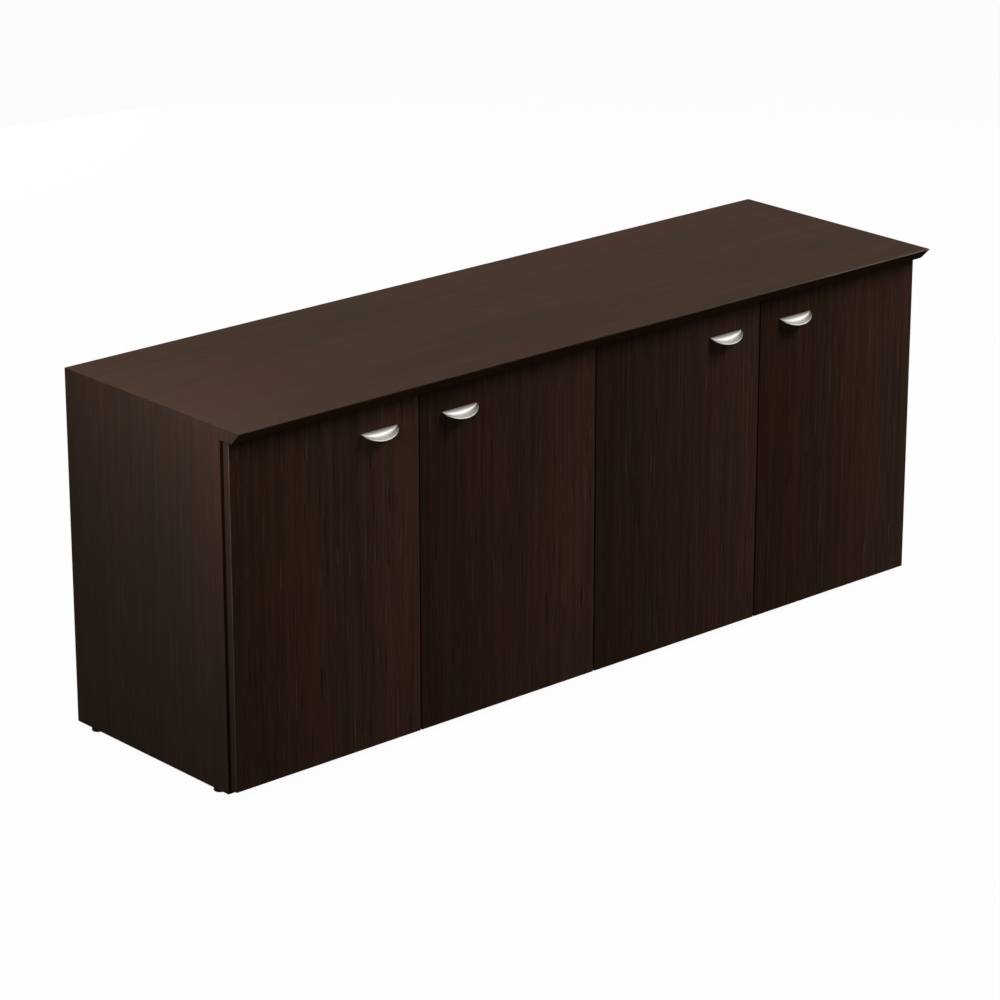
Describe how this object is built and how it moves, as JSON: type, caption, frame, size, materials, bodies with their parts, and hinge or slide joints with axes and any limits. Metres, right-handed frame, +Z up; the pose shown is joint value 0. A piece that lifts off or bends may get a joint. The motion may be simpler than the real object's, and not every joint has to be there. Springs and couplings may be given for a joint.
{
  "type": "office credenza",
  "caption": "Low dark laminate office credenza: bevelled top on end panels, two bays with shelves, overlay doors with half-moon pulls, concealed hinges and levelling glides.",
  "frame": {"origin": "on the floor under the middle of the bounding box", "axes": "+X to the right along the front, -Y towards the user in front of the doors, +Z up"},
  "size_m": [1.829, 0.533, 0.731],
  "materials": {
    "top_laminate": "satin",
    "gable_laminate": "satin",
    "door_laminate": "satin",
    "back_laminate": "satin",
    "inner_laminate": "satin",
    "satin_nickel": "satin",
    "nickel_steel": "satin",
    "zinc_alloy": "matte",
    "clear_bumper": "matte",
    "beech": "matte",
    "glide_plastic": "matte"
  },
  "bodies": {
    "case": {"top_panel": "top_laminate", "left_gable": "gable_laminate", "right_gable": "gable_laminate", "centre_partition": "gable_laminate", "left_bottom_panel": "inner_laminate", "right_bottom_panel": "inner_laminate", "left_back_panel": "back_laminate", "right_back_panel": "back_laminate", "left_front_rail": "inner_laminate", "right_front_rail": "inner_laminate", "left_shelf": "inner_laminate", "right_shelf": "inner_laminate", "shelf_pins": "nickel_steel", "cam_locks": "zinc_alloy", "cam_bolts": "nickel_steel", "wood_dowels": "beech", "top_screws": "nickel_steel", "gable_hinge_plates": "nickel_steel", "partition_hinge_plates": "nickel_steel", "hinge_plate_screws": "nickel_steel", "hinge_arm_pins": "nickel_steel", "glide_inserts": "zinc_alloy", "door_1_hinge_arms": "nickel_steel", "door_2_hinge_arms": "nickel_steel", "door_3_hinge_arms": "nickel_steel", "door_4_hinge_arms": "nickel_steel"},
    "door_1_links": {"door_1_hinge_links": "nickel_steel"},
    "door_1": {"door_1_panel": "door_laminate", "door_1_pull": "satin_nickel", "door_1_pull_screws": "nickel_steel", "door_1_hinge_cups": "nickel_steel", "door_1_cup_screws": "nickel_steel", "door_1_bumpers": "clear_bumper"},
    "door_2_links": {"door_2_hinge_links": "nickel_steel"},
    "door_2": {"door_2_panel": "door_laminate", "door_2_pull": "satin_nickel", "door_2_pull_screws": "nickel_steel", "door_2_hinge_cups": "nickel_steel", "door_2_cup_screws": "nickel_steel", "door_2_bumpers": "clear_bumper"},
    "door_3_links": {"door_3_hinge_links": "nickel_steel"},
    "door_3": {"door_3_panel": "door_laminate", "door_3_pull": "satin_nickel", "door_3_pull_screws": "nickel_steel", "door_3_hinge_cups": "nickel_steel", "door_3_cup_screws": "nickel_steel", "door_3_bumpers": "clear_bumper"},
    "door_4_links": {"door_4_hinge_links": "nickel_steel"},
    "door_4": {"door_4_panel": "door_laminate", "door_4_pull": "satin_nickel", "door_4_pull_screws": "nickel_steel", "door_4_hinge_cups": "nickel_steel", "door_4_cup_screws": "nickel_steel", "door_4_bumpers": "clear_bumper"},
    "glide_front_left": {"glide_front_left": "glide_plastic"},
    "glide_front_centre": {"glide_front_centre": "glide_plastic"},
    "glide_front_right": {"glide_front_right": "glide_plastic"},
    "glide_rear_left": {"glide_rear_left": "glide_plastic"},
    "glide_rear_centre": {"glide_rear_centre": "glide_plastic"},
    "glide_rear_right": {"glide_rear_right": "glide_plastic"}
  },
  "joints": [
    {"name": "door_1_link_turn", "type": "hinge", "parent": "case", "child": "door_1_links", "pos_m": [-0.8785, -0.1955, 0.35913], "axis": [0, 0, 1], "range_deg": [0, 55]},
    {"name": "door_1_swing", "type": "hinge", "parent": "door_1_links", "child": "door_1", "pos_m": [-0.898, -0.2145, 0.35913], "axis": [0, 0, -1], "range_deg": [0, 155]},
    {"name": "door_2_link_turn", "type": "hinge", "parent": "case", "child": "door_2_links", "pos_m": [-0.0315, -0.1955, 0.35913], "axis": [0, 0, -1], "range_deg": [0, 47.3]},
    {"name": "door_2_swing", "type": "hinge", "parent": "door_2_links", "child": "door_2", "pos_m": [-0.012, -0.2145, 0.35913], "axis": [0, 0, 1], "range_deg": [0, 133.3]},
    {"name": "door_3_link_turn", "type": "hinge", "parent": "case", "child": "door_3_links", "pos_m": [0.0315, -0.1955, 0.35913], "axis": [0, 0, 1], "range_deg": [0, 47.3]},
    {"name": "door_3_swing", "type": "hinge", "parent": "door_3_links", "child": "door_3", "pos_m": [0.012, -0.2145, 0.35913], "axis": [0, 0, -1], "range_deg": [0, 133.3]},
    {"name": "door_4_link_turn", "type": "hinge", "parent": "case", "child": "door_4_links", "pos_m": [0.8785, -0.1955, 0.35913], "axis": [0, 0, -1], "range_deg": [0, 55]},
    {"name": "door_4_swing", "type": "hinge", "parent": "door_4_links", "child": "door_4", "pos_m": [0.898, -0.2145, 0.35913], "axis": [0, 0, 1], "range_deg": [0, 155]},
    {"name": "glide_front_left_height", "type": "slide", "parent": "case", "child": "glide_front_left", "axis": [0, 0, -1], "range_m": [0, 0.01]},
    {"name": "glide_front_centre_height", "type": "slide", "parent": "case", "child": "glide_front_centre", "axis": [0, 0, -1], "range_m": [0, 0.01]},
    {"name": "glide_front_right_height", "type": "slide", "parent": "case", "child": "glide_front_right", "axis": [0, 0, -1], "range_m": [0, 0.01]},
    {"name": "glide_rear_left_height", "type": "slide", "parent": "case", "child": "glide_rear_left", "axis": [0, 0, -1], "range_m": [0, 0.01]},
    {"name": "glide_rear_centre_height", "type": "slide", "parent": "case", "child": "glide_rear_centre", "axis": [0, 0, -1], "range_m": [0, 0.01]},
    {"name": "glide_rear_right_height", "type": "slide", "parent": "case", "child": "glide_rear_right", "axis": [0, 0, -1], "range_m": [0, 0.01]}
  ],
  "couplings": [
    {"joint": "door_1_link_turn", "follows": "door_1_swing", "ratio": 0.35484},
    {"joint": "door_2_link_turn", "follows": "door_2_swing", "ratio": 0.35484},
    {"joint": "door_3_link_turn", "follows": "door_3_swing", "ratio": 0.35484},
    {"joint": "door_4_link_turn", "follows": "door_4_swing", "ratio": 0.35484}
  ]
}
